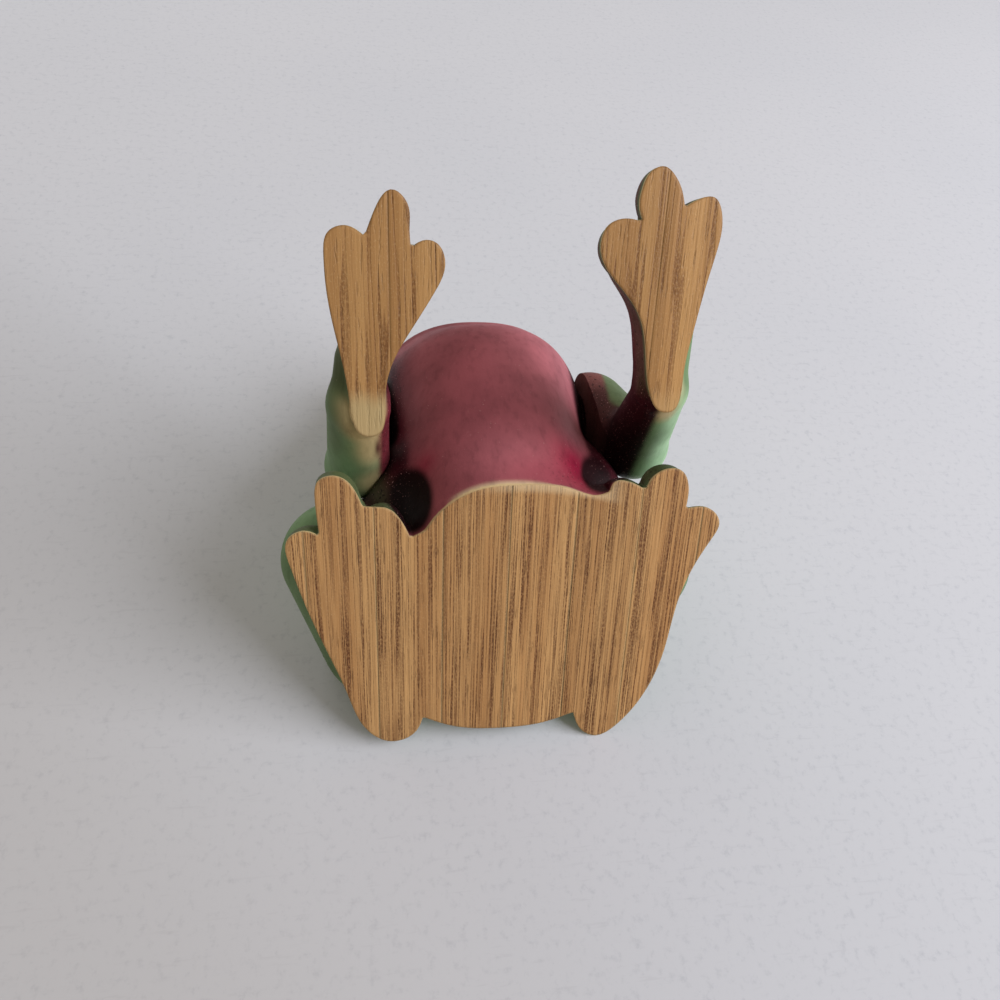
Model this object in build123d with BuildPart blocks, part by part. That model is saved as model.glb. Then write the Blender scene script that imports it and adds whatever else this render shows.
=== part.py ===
from build123d import *
import os

os.makedirs("parts", exist_ok=True)

# The frog faces -Y, its flat soles lie on Z = 0, and +X is its own left side.
# The origin is under the middle of its overall length and width.

# Block of glued bamboo strips that the body is carved from
strip_width = 8.3
strips_per_side = 4

# Flat sole under the rear feet and rump
sole_half_width = 27.4
rear_reach = 37.2
sole_wall = 9.0
sole_edge = 0.7
toe_radius = 3.4
toe_height = 4.4
foot_height = 10.5
heel_height = 6.0
foot_radius = 7.8
heel_radius = 6.2
belly_pad_radius = 7.0
middle_pad_radius = 6.6

# Trunk and head, carved as one form that leans forward to the chest
crown_height = 48.5
chest_reach = 16.1
chest_margin = 0.5

# Thighs, lying along the outside of each rear foot
knee_radius = 7.7
knee_sink = 8.2
right_knee_inset = 6.1
left_knee_inset = 6.8
right_knee_back = 12.4
left_knee_back = 15.2
hip_radius = 10.0
hip_rise = 2.2
right_hip_inset = 12.6
left_hip_inset = 13.8
hip_rear_inset = 11.7

# Flanks, the soft bulges between each shoulder and thigh
flank_front = (11.2, 5.2, 13.8)
flank_rear = (9.0, 15.0, 21.0)
flank_front_radius = 7.0
flank_rear_radius = 7.8

# Eye mounds and the beads set in them
eye_mound_radius = 5.4
eye_side = 9.8
eye_back = -3.4
eye_height = 45.4
eye_bead_radius = 3.6
eye_proud = 1.3
eye_socket_clearance = 0.1
eye_aim = (0.55, -0.55, 0.63)

# Arms: the glue plane of each arm is also its seat on the shoulder
right_seat_depth = 1.8
left_seat_depth = 0.7
hand_length = 25.0
hand_half_width = 6.9
finger_radius = 3.3
finger_height = 3.0
palm_radius = 7.0
palm_height = 5.2
hand_wall = 7.0
hand_edge = 0.6
arm_inset = 0.15
wrist_radius = 3.6
wrist_height = 3.9
right_elbow_radius = 4.1
left_elbow_radius = 4.5
elbow_height = 14.8
shoulder_radius = 5.6
shoulder_height = 27.0
shoulder_outset = 1.3
shoulder_back = -1.8
right_wrist_back = -10.6
left_wrist_back = -12.2
right_elbow_back = 0.9
left_elbow_back = -1.4
shoulder_clearance = 0.2

# Dowels between arms and trunk
dowel_radius = 1.75
dowel_length = 11.0
dowel_clearance = 0.1
dowel_end_gap = 0.3

# Sections of the trunk, from the sole to the crown: height as a share of the crown's height, front
# as a share of the chest's reach, back as a share of the rear reach, half width as a share of the
# chest's, and how far the rounded corners stand out
trunk_section_shares = (
    (0.00, -0.09, 0.92, 0.80, 0.75),
    (0.12, -0.33, 0.92, 0.86, 0.76),
    (0.25, -0.60, 0.87, 0.88, 0.75),
    (0.41, -0.90, 0.75, 0.90, 0.75),
    (0.54, -1.00, 0.64, 0.98, 0.75),
    (0.63, -0.96, 0.54, 1.00, 0.75),
    (0.74, -0.90, 0.42, 0.98, 0.76),
    (0.84, -0.84, 0.32, 0.89, 0.75),
    (0.93, -0.74, 0.21, 0.76, 0.74),
    (1.00, -0.50, 0.08, 0.50, 0.72),
)

# Outline of the sole, run by run between its notches, as shares of its half width and rear reach
right_inner_toe_shares = (
    (-0.449, 0.137), (-0.500, 0.062), (-0.544, 0.032), (-0.617, 0.024), (-0.653, 0.021),
)
right_middle_toe_shares = (
    (-0.653, 0.021), (-0.682, -0.032), (-0.759, -0.083), (-0.832, -0.068), (-0.850, -0.008),
    (-0.839, 0.121),
)
right_side_shares = (
    (-0.839, 0.121), (-0.909, 0.101), (-0.974, 0.128), (-0.974, 0.218), (-0.905, 0.403), (-0.843, 0.538),
    (-0.755, 0.728), (-0.639, 0.919), (-0.555, 0.954), (-0.438, 0.925), (-0.394, 0.855),
)
rump_shares = ((-0.394, 0.855), (-0.255, 0.903), (0.000, 0.930), (0.220, 0.918), (0.369, 0.882))
left_side_shares = (
    (0.369, 0.882), (0.430, 0.975), (0.500, 1.000), (0.617, 0.949), (0.737, 0.817), (0.807, 0.656),
    (0.850, 0.419), (0.916, 0.263), (0.978, 0.172), (1.000, 0.124), (0.967, 0.077), (0.905, 0.056),
    (0.821, 0.062),
)
left_middle_toe_shares = (
    (0.821, 0.062), (0.814, -0.038), (0.777, -0.078), (0.719, -0.086), (0.650, -0.060), (0.617, -0.011),
)
left_inner_toe_shares = ((0.617, -0.011), (0.547, -0.038), (0.464, -0.040), (0.449, -0.008))
belly_edge_shares = (
    (0.449, -0.008), (0.410, 0.003), (0.255, -0.024), (0.000, -0.038), (-0.102, -0.030), (-0.285, 0.059),
    (-0.372, 0.108), (-0.449, 0.137),
)

# Outlines of the hands: outward from the glue plane as shares of the half width, and back from the
# wrist as shares of the length
right_hand_outer_shares = (
    (0.35, -0.749), (0.61, -0.789), (0.89, -0.760), (0.96, -0.677), (0.94, -0.520), (0.83, -0.332),
    (0.67, -0.064), (0.43, 0.111), (0.26, 0.108), (0.09, -0.076), (-0.30, -0.355), (-0.72, -0.540),
    (-0.86, -0.656), (-0.71, -0.734), (-0.49, -0.737), (-0.34, -0.704),
)
right_hand_middle_shares = (
    (-0.34, -0.704), (-0.32, -0.786), (-0.29, -0.882), (-0.07, -0.932), (0.20, -0.848), (0.35, -0.749),
)
left_hand_outer_shares = (
    (0.30, -0.843), (0.50, -0.874), (0.77, -0.887), (0.93, -0.822), (0.93, -0.664), (0.82, -0.504),
    (0.71, -0.303), (0.64, -0.107), (0.48, 0.072), (0.29, 0.066), (0.10, -0.003), (-0.25, -0.377),
    (-0.64, -0.509), (-1.00, -0.657), (-0.90, -0.762), (-0.64, -0.789), (-0.35, -0.777),
)
left_hand_middle_shares = (
    (-0.35, -0.777), (-0.44, -0.840), (-0.42, -0.910), (-0.31, -0.977), (-0.11, -1.000), (0.08, -0.967),
    (0.22, -0.910), (0.30, -0.843),
)

# Round forms that shape the upper side of feet and hands, placed by the same shares as the outlines;
# the third share is of the toes' radius
right_toe_shares = ((-0.860, 0.205, 1.35), (-0.768, 0.004, 1.00), (-0.560, 0.118, 1.00))
left_toe_shares = ((0.862, 0.180, 1.20), (0.719, 0.003, 1.00), (0.525, 0.055, 1.10))
right_foot_share = (-0.710, 0.370)
left_foot_share = (0.715, 0.360)
right_heel_share = (-0.540, 0.800)
left_heel_share = (0.520, 0.840)
belly_pad_shares = ((-0.260, 0.240), (0.340, 0.145))
middle_pad_shares = ((-0.480, 0.450), (0.480, 0.420))
rump_pad_shares = ((-0.190, 0.770), (0.200, 0.775))
right_finger_shares = ((0.59, -0.662, 1.10), (-0.07, -0.811, 1.00), (-0.52, -0.610, 1.00))
left_finger_shares = ((0.53, -0.747, 1.20), (-0.11, -0.874, 1.00), (-0.64, -0.651, 1.00))
right_palm_share = (0.09, -0.499)
left_palm_share = (0.09, -0.538)


def scaled(shares, width, reach):
    """Turn shares of a width and a reach into points."""
    return [(x_share * width, y_share * reach) for x_share, y_share in shares]


def ring(middle, half_width, half_length, corner):
    """Eight points of a rounded section: two ends, two sides and four corners."""
    unit_points = (
        (1, 0), (corner, corner), (0, 1), (-corner, corner),
        (-1, 0), (-corner, -corner), (0, -1), (corner, -corner),
    )
    return [(x * half_width, middle + y * half_length) for x, y in unit_points]


def limb(start, end, start_radius, end_radius, growth=0.0):
    """A tapered limb with round ends, from one joint's centre to the next."""
    start = Vector(start)
    end = Vector(end)
    first = start_radius + growth
    last = end_radius + growth
    length = (end - start).length
    lean = (first - last) / length
    rise = (1 - lean ** 2) ** 0.5
    back_turn = Vector(lean - 1, rise).normalized() * first
    front_turn = Vector(lean + 1, rise).normalized() * last
    near = Vector(lean, rise) * first
    far = Vector(length, 0) + Vector(lean, rise) * last
    tip = Vector(length + last, 0)
    side = Vector(0, 0, 1).cross(end - start)
    if side.length == 0:
        side = Vector(1, 0, 0)
    with BuildPart() as made:
        with BuildSketch(Plane(origin=start, x_dir=end - start, z_dir=side)):
            with BuildLine():
                ThreePointArc(Vector(-first, 0), back_turn, near)
                Line(near, far)
                ThreePointArc(far, Vector(length, 0) + front_turn, tip)
                Line(tip, Vector(-first, 0))
            make_face()
        revolve(axis=Axis(start, end - start))
    return made.part


def prism(runs, height):
    """A straight-walled block on the sole plane, from an outline given run by run."""
    with BuildPart() as made:
        with BuildSketch(Plane.XY):
            with BuildLine():
                for run in runs:
                    Spline(*run)
            make_face()
        extrude(amount=height)
    return made.part


def slab(half_width, front, back, height):
    """A thin flat slab on the sole plane, wider than the outline that it is cut to."""
    with BuildPart() as made:
        with Locations((0, (front + back) / 2, height / 2)):
            Box(2 * half_width, back - front, height)
    return made.part


def rounded_foot(toe_shares, foot_share, heel_share):
    """Toes and foot as round forms that lie along the sole."""
    foot_x, foot_y = scaled((foot_share,), sole_half_width, rear_reach)[0]
    heel_x, heel_y = scaled((heel_share,), sole_half_width, rear_reach)[0]
    foot = (foot_x, foot_y, foot_height - foot_radius)
    heel = (heel_x, heel_y, heel_height - heel_radius)
    forms = [limb(foot, heel, foot_radius, heel_radius)]
    for x_share, y_share, radius_share in toe_shares:
        end_radius = toe_radius * radius_share
        toe = (x_share * sole_half_width, y_share * rear_reach, toe_height - end_radius)
        forms.append(limb(toe, foot, end_radius, toe_radius))
    return forms


def pad(shares, radius):
    """A round form lying across the sole, between two places on it."""
    points = [(x, y, 0) for x, y in scaled(shares, sole_half_width, rear_reach)]
    return limb(*points, radius, radius)


# The trunk stays within the two strips next to the middle on each side
chest_half_width = 2 * strip_width - chest_margin

with BuildPart() as trunk:
    for height_share, front_share, back_share, width_share, corner_share in trunk_section_shares:
        front = front_share * chest_reach
        back = back_share * rear_reach
        half_width = width_share * chest_half_width
        with BuildSketch(Plane.XY.offset(height_share * crown_height)):
            with BuildLine():
                section = ring((front + back) / 2, half_width, (back - front) / 2, corner_share)
                Spline(*section, periodic=True)
            make_face()
    loft()

sole_runs = [
    scaled(shares, sole_half_width, rear_reach)
    for shares in (
        right_inner_toe_shares, right_middle_toe_shares, right_side_shares, rump_shares,
        left_side_shares, left_middle_toe_shares, left_inner_toe_shares, belly_edge_shares,
    )
]

sole_prism = prism(sole_runs, sole_wall)
sole_forms = [
    slab(2 * sole_half_width, -rear_reach, 2 * rear_reach, sole_edge),
    *rounded_foot(right_toe_shares, right_foot_share, right_heel_share),
    *rounded_foot(left_toe_shares, left_foot_share, left_heel_share),
    pad(belly_pad_shares, belly_pad_radius),
    pad(middle_pad_shares, middle_pad_radius),
    pad(rump_pad_shares, heel_radius),
]

with BuildPart() as sole:
    for form in sole_forms:
        add(form)
    add(sole_prism, mode=Mode.INTERSECT)

# Sizes that differ between the two sides; each arm's glue plane is given by its distance from X = 0
RIGHT = -1
LEFT = 1
half_turn = 180
side_names = {RIGHT: "right", LEFT: "left"}
glue_distance = {
    RIGHT: chest_half_width - right_seat_depth,
    LEFT: chest_half_width - left_seat_depth,
}
wrist_back = {RIGHT: right_wrist_back, LEFT: left_wrist_back}
elbow_back = {RIGHT: right_elbow_back, LEFT: left_elbow_back}
elbow_radius = {RIGHT: right_elbow_radius, LEFT: left_elbow_radius}
knee_inset = {RIGHT: right_knee_inset, LEFT: left_knee_inset}
knee_back = {RIGHT: right_knee_back, LEFT: left_knee_back}
hip_inset = {RIGHT: right_hip_inset, LEFT: left_hip_inset}
turn = {RIGHT: half_turn, LEFT: 0}
outward = {RIGHT: Keep.BOTTOM, LEFT: Keep.TOP}
inward = {RIGHT: Keep.TOP, LEFT: Keep.BOTTOM}
knee_height = foot_height + knee_radius - knee_sink
aim = Vector(eye_aim).normalized()
bead_offset = eye_mound_radius + eye_proud - eye_bead_radius


def glue_plane(side):
    """The plane on which one arm is glued to the trunk."""
    return Plane.YZ.offset(side * glue_distance[side])


def arm_joints(side):
    """Centres of the wrist, elbow and shoulder of one arm."""
    seat = glue_distance[side]
    wrist = (side * (seat + arm_inset + wrist_radius), wrist_back[side], wrist_height)
    elbow = (side * (seat + arm_inset + elbow_radius[side]), elbow_back[side], elbow_height)
    shoulder = (side * (seat + shoulder_outset), shoulder_back, shoulder_height)
    return wrist, elbow, shoulder


def bead_place(side):
    """Where an eye bead's centre lies, in front of and outside its mound."""
    mound = Vector(side * eye_side, eye_back, eye_height)
    centre = mound + Vector(side * aim.X, aim.Y, aim.Z) * bead_offset
    return Location(centre, (0, 0, turn[side]))


def dowel_place(side):
    """Where a shoulder dowel's middle lies, on the glue plane."""
    return Location((side * glue_distance[side], shoulder_back, shoulder_height), (0, 90, 0))


def dowel_bore(side):
    """The bore that a shoulder dowel sits in, across the glue plane."""
    with BuildPart() as made:
        with Locations(dowel_place(side)):
            Cylinder(dowel_radius + dowel_clearance, dowel_length + 2 * dowel_end_gap)
    return made.part


def arm_recess(side):
    """The recess in the trunk that one bent arm sits in, down to its glue plane."""
    wrist, elbow, shoulder = arm_joints(side)
    forearm = limb(wrist, elbow, wrist_radius, elbow_radius[side], growth=shoulder_clearance)
    upper_arm = limb(elbow, shoulder, elbow_radius[side], shoulder_radius, growth=shoulder_clearance)
    with BuildPart() as made:
        add(forearm)
        add(upper_arm)
        split(bisect_by=glue_plane(side), keep=outward[side])
    return made.part


def thigh(side):
    """One thigh, from the knee beside the toes back to the hip."""
    knee = (side * (sole_half_width - knee_inset[side]), knee_back[side], knee_height)
    hip_side = side * (sole_half_width - hip_inset[side])
    hip = (hip_side, rear_reach - hip_rear_inset, knee_height + hip_rise)
    return limb(knee, hip, knee_radius, hip_radius)


def flank(side):
    """The bulge of one flank behind the upper arm."""
    front_x, front_y, front_z = flank_front
    rear_x, rear_y, rear_z = flank_rear
    front = (side * front_x, front_y, front_z)
    rear = (side * rear_x, rear_y, rear_z)
    return limb(front, rear, flank_front_radius, flank_rear_radius)


thighs = [thigh(side) for side in side_names]
flanks = [flank(side) for side in side_names]
recesses = [arm_recess(side) for side in side_names]
dowel_bores = [dowel_bore(side) for side in side_names]
mound_places = [
    Location((side * eye_side, eye_back, eye_height), (0, 0, turn[side])) for side in side_names
]

with BuildPart() as block:
    add(trunk.part)
    add(sole.part)
    for form in (*thighs, *flanks):
        add(form)
    with Locations(mound_places):
        Sphere(eye_mound_radius)
    add(recesses, mode=Mode.SUBTRACT)
    add(dowel_bores, mode=Mode.SUBTRACT)
    with Locations([bead_place(side) for side in side_names]):
        Sphere(eye_bead_radius + eye_socket_clearance, mode=Mode.SUBTRACT)

strip_names = (
    "right_knee_strip", "right_haunch_strip", "right_flank_strip", "right_core_strip",
    "left_core_strip", "left_flank_strip", "left_haunch_strip", "left_knee_strip",
)

for number, strip_name in enumerate(strip_names):
    right_face = Plane.YZ.offset((number - strips_per_side) * strip_width)
    left_face = right_face.offset(strip_width)
    with BuildPart() as strip:
        add(block.part)
        split(bisect_by=left_face, keep=Keep.BOTTOM)
        split(bisect_by=right_face, keep=Keep.TOP)
    strip.part.label = strip_name
    export_step(strip.part, f"parts/{strip_name}.step")


def hand_points(side, shares):
    """Turn shares of a hand's width and length into points, from its glue plane and wrist."""
    seat = glue_distance[side]
    wrist_y = wrist_back[side]
    return [(side * (seat + x * hand_half_width), wrist_y + y * hand_length) for x, y in shares]


def hand_form(side, runs, finger_shares, palm_share):
    """One flat-soled hand: its outline cut from round fingers and a palm that runs into the wrist."""
    wrist, elbow, shoulder = arm_joints(side)
    palm = (*hand_points(side, (palm_share,))[0], palm_height - palm_radius)
    forms = [
        slab(2 * sole_half_width, wrist_back[side] - 2 * hand_length, 0, hand_edge),
        limb(palm, wrist, palm_radius, wrist_radius),
    ]
    for x_share, y_share, radius_share in finger_shares:
        end_radius = finger_radius * radius_share
        finger = (*hand_points(side, ((x_share, y_share),))[0], finger_height - end_radius)
        forms.append(limb(finger, palm, end_radius, finger_radius))
    hand_prism = prism([hand_points(side, run) for run in runs], hand_wall)
    with BuildPart() as made:
        for form in forms:
            add(form)
        add(hand_prism, mode=Mode.INTERSECT)
    return made.part


hands = {
    RIGHT: hand_form(
        RIGHT, (right_hand_outer_shares, right_hand_middle_shares), right_finger_shares, right_palm_share
    ),
    LEFT: hand_form(
        LEFT, (left_hand_outer_shares, left_hand_middle_shares), left_finger_shares, left_palm_share
    ),
}

for side, side_name in side_names.items():
    wrist, elbow, shoulder = arm_joints(side)
    forearm = limb(wrist, elbow, wrist_radius, elbow_radius[side])
    upper_arm = limb(elbow, shoulder, elbow_radius[side], shoulder_radius)
    bore = dowel_bore(side)

    with BuildPart() as arm_outer:
        add(hands[side])
        add(forearm)
        add(upper_arm)
        split(bisect_by=glue_plane(side), keep=outward[side])
        add(bore, mode=Mode.SUBTRACT)
    arm_outer.part.label = f"{side_name}_arm_outer_strip"
    export_step(arm_outer.part, f"parts/{side_name}_arm_outer_strip.step")

    with BuildPart() as arm_inner:
        add(hands[side])
        split(bisect_by=glue_plane(side), keep=inward[side])
    arm_inner.part.label = f"{side_name}_arm_inner_strip"
    export_step(arm_inner.part, f"parts/{side_name}_arm_inner_strip.step")

    with BuildPart() as dowel:
        with Locations(dowel_place(side)):
            Cylinder(dowel_radius, dowel_length)
    dowel.part.label = f"{side_name}_shoulder_dowel"
    export_step(dowel.part, f"parts/{side_name}_shoulder_dowel.step")

    with BuildPart() as eye:
        with Locations(bead_place(side)):
            Sphere(eye_bead_radius)
    eye.part.label = f"{side_name}_eye"
    export_step(eye.part, f"parts/{side_name}_eye.step")
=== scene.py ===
from functools import partial

import bmesh
import bpy
import numpy as np
from mathutils import Matrix, Vector
from mathutils.geometry import delaunay_2d_cdt


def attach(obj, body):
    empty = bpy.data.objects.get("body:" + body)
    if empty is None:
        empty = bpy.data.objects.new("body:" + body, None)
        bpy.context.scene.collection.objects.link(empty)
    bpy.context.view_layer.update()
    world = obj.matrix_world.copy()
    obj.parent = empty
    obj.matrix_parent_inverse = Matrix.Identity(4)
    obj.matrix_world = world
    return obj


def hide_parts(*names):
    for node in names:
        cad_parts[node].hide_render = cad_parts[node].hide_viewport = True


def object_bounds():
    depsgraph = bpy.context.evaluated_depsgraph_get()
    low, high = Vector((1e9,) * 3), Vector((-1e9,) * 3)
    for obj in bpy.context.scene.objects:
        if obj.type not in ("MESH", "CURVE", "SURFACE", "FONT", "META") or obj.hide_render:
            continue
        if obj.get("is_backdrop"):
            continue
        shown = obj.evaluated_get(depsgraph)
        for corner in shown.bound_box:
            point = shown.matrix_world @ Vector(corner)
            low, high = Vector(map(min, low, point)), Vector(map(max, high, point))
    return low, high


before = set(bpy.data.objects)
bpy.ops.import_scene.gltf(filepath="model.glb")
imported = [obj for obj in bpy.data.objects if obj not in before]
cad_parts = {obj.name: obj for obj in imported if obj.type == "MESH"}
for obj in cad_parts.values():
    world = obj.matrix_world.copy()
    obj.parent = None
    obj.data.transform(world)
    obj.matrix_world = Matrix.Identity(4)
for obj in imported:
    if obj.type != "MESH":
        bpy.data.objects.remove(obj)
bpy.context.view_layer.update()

# The carving is worked out in millimetres and scaled to metres when its meshes are made
MM = 0.001
GRID = 0.4
STRIP = 8.3
SOLE_HALF_WIDTH = 27.4
REAR_REACH = 37.2
CROWN = 48.5
CHEST_REACH = 16.1
CHEST_HALF_WIDTH = 16.1
SIDES = {"right": -1, "left": 1}

# Sections of the trunk: height, front, back and half width
TRUNK_SHARES = np.array((
    (0.00, -0.09, 0.92, 0.80),
    (0.12, -0.33, 0.92, 0.86),
    (0.25, -0.60, 0.87, 0.88),
    (0.41, -0.90, 0.75, 0.90),
    (0.54, -1.00, 0.64, 0.98),
    (0.63, -0.96, 0.54, 1.00),
    (0.74, -0.90, 0.42, 0.98),
    (0.84, -0.84, 0.32, 0.89),
    (0.93, -0.74, 0.21, 0.76),
    (1.00, -0.50, 0.08, 0.50),
))
TRUNK_POWER = 2.4

# Outlines of the soles across and along, in runs that meet at the notches
SOLE_SHARES = (
    ((-0.449, 0.137), (-0.500, 0.062), (-0.544, 0.032), (-0.617, 0.024), (-0.653, 0.021)),
    ((-0.653, 0.021), (-0.682, -0.032), (-0.759, -0.083), (-0.832, -0.068), (-0.850, -0.008),
     (-0.839, 0.121)),
    ((-0.839, 0.121), (-0.909, 0.101), (-0.974, 0.128), (-0.974, 0.218), (-0.905, 0.403),
     (-0.843, 0.538), (-0.755, 0.728), (-0.639, 0.919), (-0.555, 0.954), (-0.438, 0.925),
     (-0.394, 0.855)),
    ((-0.394, 0.855), (-0.255, 0.903), (0.000, 0.930), (0.220, 0.918), (0.369, 0.882)),
    ((0.369, 0.882), (0.430, 0.975), (0.500, 1.000), (0.617, 0.949), (0.737, 0.817), (0.807, 0.656),
     (0.850, 0.419), (0.916, 0.263), (0.978, 0.172), (1.000, 0.124), (0.967, 0.077), (0.905, 0.056),
     (0.821, 0.062)),
    ((0.821, 0.062), (0.814, -0.038), (0.777, -0.078), (0.719, -0.086), (0.650, -0.060),
     (0.617, -0.011)),
    ((0.617, -0.011), (0.547, -0.038), (0.464, -0.040), (0.449, -0.008)),
    ((0.449, -0.008), (0.410, 0.003), (0.255, -0.024), (0.000, -0.038), (-0.102, -0.030),
     (-0.285, 0.059), (-0.372, 0.108), (-0.449, 0.137)),
)
HAND_SHARES = {
    "right": (
        ((0.35, -0.749), (0.61, -0.789), (0.89, -0.760), (0.96, -0.677), (0.94, -0.520), (0.83, -0.332),
         (0.67, -0.064), (0.43, 0.111), (0.26, 0.108), (0.09, -0.076), (-0.30, -0.355), (-0.72, -0.540),
         (-0.86, -0.656), (-0.71, -0.734), (-0.49, -0.737), (-0.34, -0.704)),
        ((-0.34, -0.704), (-0.32, -0.786), (-0.29, -0.882), (-0.07, -0.932), (0.20, -0.848),
         (0.35, -0.749)),
    ),
    "left": (
        ((0.30, -0.843), (0.50, -0.874), (0.77, -0.887), (0.93, -0.822), (0.93, -0.664), (0.82, -0.504),
         (0.71, -0.303), (0.64, -0.107), (0.48, 0.072), (0.29, 0.066), (0.10, -0.003), (-0.25, -0.377),
         (-0.64, -0.509), (-1.00, -0.657), (-0.90, -0.762), (-0.64, -0.789), (-0.35, -0.777)),
        ((-0.35, -0.777), (-0.44, -0.840), (-0.42, -0.910), (-0.31, -0.977), (-0.11, -1.000),
         (0.08, -0.967), (0.22, -0.910), (0.30, -0.843)),
    ),
}

# Feet, seen from below: a place across and along, and a toe's share of the radius
TOE_RADIUS = 3.4
TOE_HEIGHT = 4.4
FOOT_HEIGHT = 10.5
FOOT_RADIUS = 7.8
HEEL_HEIGHT = 6.0
HEEL_RADIUS = 6.2
SOLE_EDGE = 0.7
TOE_SHARES = {
    "right": ((-0.860, 0.205, 1.35), (-0.768, 0.004, 1.00), (-0.560, 0.118, 1.00)),
    "left": ((0.862, 0.180, 1.20), (0.719, 0.003, 1.00), (0.525, 0.055, 1.10)),
}
FOOT_SHARES = {"right": (-0.710, 0.370), "left": (0.715, 0.360)}
HEEL_SHARES = {"right": (-0.540, 0.800), "left": (0.520, 0.840)}
# Pads that close the sole between the feet: both ends and a radius
PAD_SHARES = (
    ((-0.26, 0.24), (0.34, 0.145), 7.0),
    ((-0.48, 0.45), (0.48, 0.42), 6.6),
    ((-0.19, 0.77), (0.20, 0.775), 6.2),
)
KNEE = {"right": (-21.3, 12.4, 10.0), "left": (20.6, 15.2, 10.0)}
HIP = {"right": (-14.8, 25.5, 12.2), "left": (13.6, 25.5, 12.2)}
KNEE_RADIUS = 7.7
HIP_RADIUS = 10.0
FLANK = ((11.2, 5.2, 13.8), (9.0, 15.0, 21.0))
FLANK_RADII = (7.0, 7.8)

# Arms: each has its glue plane, which is also its seat on the shoulder
GLUE = {"right": 14.3, "left": 15.4}
WRIST_RADIUS = {"right": 3.6, "left": 3.25}
ELBOW_RADIUS = {"right": 4.1, "left": 4.5}
SHOULDER_RADIUS = {"right": 5.6, "left": 6.3}
SHOULDER_OUTSET = 1.3
SHOULDER_BACK = {"right": -1.8, "left": -2.6}
DOWEL_BACK = -1.8
DOWEL_HEIGHT = 27.0
BOSS_RADIUS = 3.4
BOSS_START = 7.0
BOSS_OVERRUN = 2.0
BOSS_GAP = 0.03
WRIST_BACK = {"right": -10.6, "left": -12.2}
WRIST_HEIGHT = 3.9
ELBOW_BACK = {"right": 0.9, "left": -1.4}
ELBOW_HEIGHT = 14.8
ARM_INSET = 0.15
HAND_LENGTH = 25.0
HAND_HALF_WIDTH = 6.9
HAND_EDGE = 0.6
FINGER_RADIUS = 3.3
FINGER_HEIGHT = 3.0
PALM_RADIUS = 7.0
PALM_HEIGHT = 5.2
FINGER_SHARES = {
    "right": ((0.59, -0.662, 1.10), (-0.07, -0.811, 1.00), (-0.52, -0.610, 1.00)),
    "left": ((0.53, -0.747, 1.20), (-0.11, -0.874, 1.00), (-0.64, -0.651, 1.00)),
}
PALM_SHARES = {"right": (0.09, -0.499), "left": (0.09, -0.538)}
HAND_SIDE_SHARES = {"right": (0.60, -0.20), "left": (0.64, -0.33)}
HAND_SIDE_HEIGHT = 4.0
HAND_SIDE_RADIUS = 2.1
HAND_SIDE_INSET = 0.3
SEAT_GAP = 0.2
BORE_RADIUS = 1.85
BORE_HALF_LENGTH = 5.8

# Eyes: the mound, the socket, the bead and the carved rim round it
EYE_SIDE = 9.8
EYE_BACK = -3.4
EYE_HEIGHT = 45.4
MOUND_RADIUS = 5.4
SOCKET_RADIUS = 3.7
BEAD_OFFSET = 3.1
RIM_OFFSET = 4.3
RIM_RADIUS = 3.75
RIM_THICKNESS = 0.55
EYE_AIM = np.array((0.55, -0.55, 0.63))
EYE_AIM = EYE_AIM / np.linalg.norm(EYE_AIM)

# Relief on the head and back: a depth and a width for each groove or ridge, and its place
MOUTH_HEIGHT = 37.0
MOUTH_CURVE = 0.011
MOUTH_DROOP = 1.4
MOUTH_GROOVE = (0.85, 0.5)
LOWER_LIP = (0.45, 1.4)
LOWER_LIP_DROP = 1.7
UPPER_LIP = (0.30, 1.2)
UPPER_LIP_RISE = 1.5
SNOUT_FRONT = -6
NOSTRIL_PLACE = (2.7, 42.6)
NOSTRIL_PIT = (0.9, 0.62)
NOSTRIL_RIM = (0.35, 0.6)
NOSTRIL_RIM_RADIUS = 1.1
EAR_SIDE = 8
EAR_PLACE = (4.6, 39.2)
EAR_RADIUS = 2.1
EAR_GROOVE = (0.28, 0.42)
SIDE_RIDGE = ((12.2, 2.0, 43.6), (10.4, 21.5, 24.0), 0.1, 0.05)
SIDE_RIDGE_FORM = (0.7, 1.5)
BACK_RIDGE = ((0.0, 33.0, 13.0), (0.0, 8.0, 46.0), 0.1, 0.1)
BACK_RIDGE_FORM = (0.35, 1.6)
BACK_RIDGE_TOP = 34

# Roundness where the parts of the carving meet
CROWN_ROUND = 5.0
CROWN_RISE = 0.4
FOOT_BLEND = 0.5
PAD_BLEND = 1.0
SOLE_ROUND = 0.6
ARM_BLEND = 1.6
HAND_SIDE_BLEND = 1.0
HAND_BLEND = 0.4
HAND_ROUND = 0.5
WRIST_BLEND = 1.4
FLANK_BLEND = 2.5
SOLE_BLEND = 1.3
THIGH_BLEND = 1.8
MOUND_BLEND = 2.6
RIM_BLEND = 0.5
BOSS_BLEND = 1.2
SEAT_BLEND = 0.35

# How the surface is found: the floor of its grid, rounds of evening out, the furthest move in each
# and the boxes that are searched
FLOOR_SHARE = 0.3
SETTLE_TURNS = 3
SETTLE_MOVE = 0.25
BODY_BOX = ((-30.5, -18.5, -1.4), (30.5, 39.5, 52.6))
ARM_SIDES = (-9.5, 13.5)
ARM_BOX = ((-39.5, -1.4), (6.5, 34.0))
HAND_BOX = ((-39.5, -1.4), (0.0, 12.0))


# Distance fields

def smin(a, b, k):
    """Smooth union of two distances, rounded over k."""
    h = np.maximum(k - np.abs(a - b), 0) / k
    return np.minimum(a, b) - h * h * k / 4


def smax(a, b, k):
    """Smooth intersection of two distances, rounded over k."""
    return -smin(-a, -b, k)


def step(low, high, value):
    """Smooth step from 0 at low to 1 at high."""
    t = np.clip((value - low) / (high - low), 0, 1)
    return t * t * (3 - 2 * t)


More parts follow.
